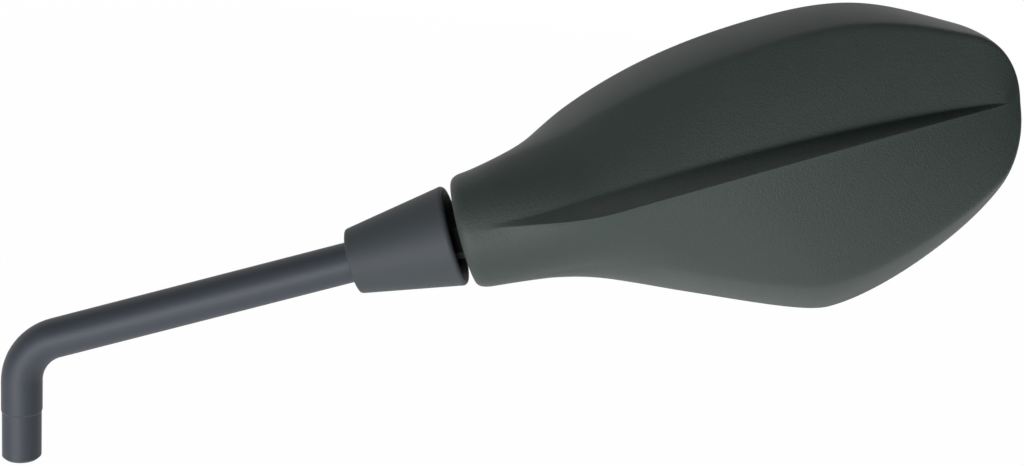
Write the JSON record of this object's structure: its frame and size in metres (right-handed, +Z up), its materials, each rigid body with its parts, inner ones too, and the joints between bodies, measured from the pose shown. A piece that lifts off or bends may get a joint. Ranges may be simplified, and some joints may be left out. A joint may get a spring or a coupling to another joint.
{
  "type": "motorcycle mirror",
  "caption": "Left-hand motorcycle mirror: bent round stem, conical boot, friction ball joint and a keeled leaf-shaped shell with a convex glass.",
  "frame": {"origin": "centre of the stem's lower end face", "axes": "+Z runs up the stem's leg, +X out along the arm's horizontal run, +Y towards the rider (the glass side)"},
  "size_m": [0.2924, 0.0461, 0.1564],
  "materials": {
    "black_paint": "satin",
    "black_boot": "satin",
    "ball_steel": "polished",
    "zinc_steel": "zinc plated",
    "spring_steel": "oiled",
    "acetal": "moulded",
    "cast_alloy": "as cast",
    "sintered_steel": "as pressed",
    "black_rubber": "matt",
    "shell_plastic": "finely grained",
    "carrier_plastic": "matt",
    "foam": "foam",
    "mirror": "silvered, convex"
  },
  "bodies": {
    "arm": {"stem": "black_paint", "ball": "ball_steel", "lock_nut": "zinc_steel", "boot": "black_boot"},
    "inner_ring": {"front_liner": "acetal"},
    "outer_ring": {"rear_liner": "acetal"},
    "head": {"socket": "cast_alloy", "dust_seal": "black_rubber", "pressure_cup": "sintered_steel", "disc_springs": "spring_steel", "adjuster_ring": "zinc_steel", "bracket_screws": "zinc_steel", "bracket_washers": "zinc_steel", "shell": "shell_plastic", "gasket": "black_rubber", "carrier": "carrier_plastic", "carrier_screws": "zinc_steel", "foam_pad": "foam", "mirror_glass": "mirror"}
  },
  "joints": [
    {"name": "head_turn", "type": "hinge", "parent": "arm", "child": "inner_ring", "pos_m": [0.13908, 0, 0.08622], "axis": [0.9397, 0, 0.342], "continuous": true},
    {"name": "head_swing", "type": "hinge", "parent": "inner_ring", "child": "outer_ring", "pos_m": [0.13908, 0, 0.08622], "axis": [-0.3345, 0.2079, 0.9192], "range_deg": [-6.5, 6.5]},
    {"name": "head_nod", "type": "hinge", "parent": "outer_ring", "child": "head", "pos_m": [0.13908, 0, 0.08622], "axis": [-0.0711, -0.9781, 0.1954], "range_deg": [-6.5, 6.5]}
  ]
}
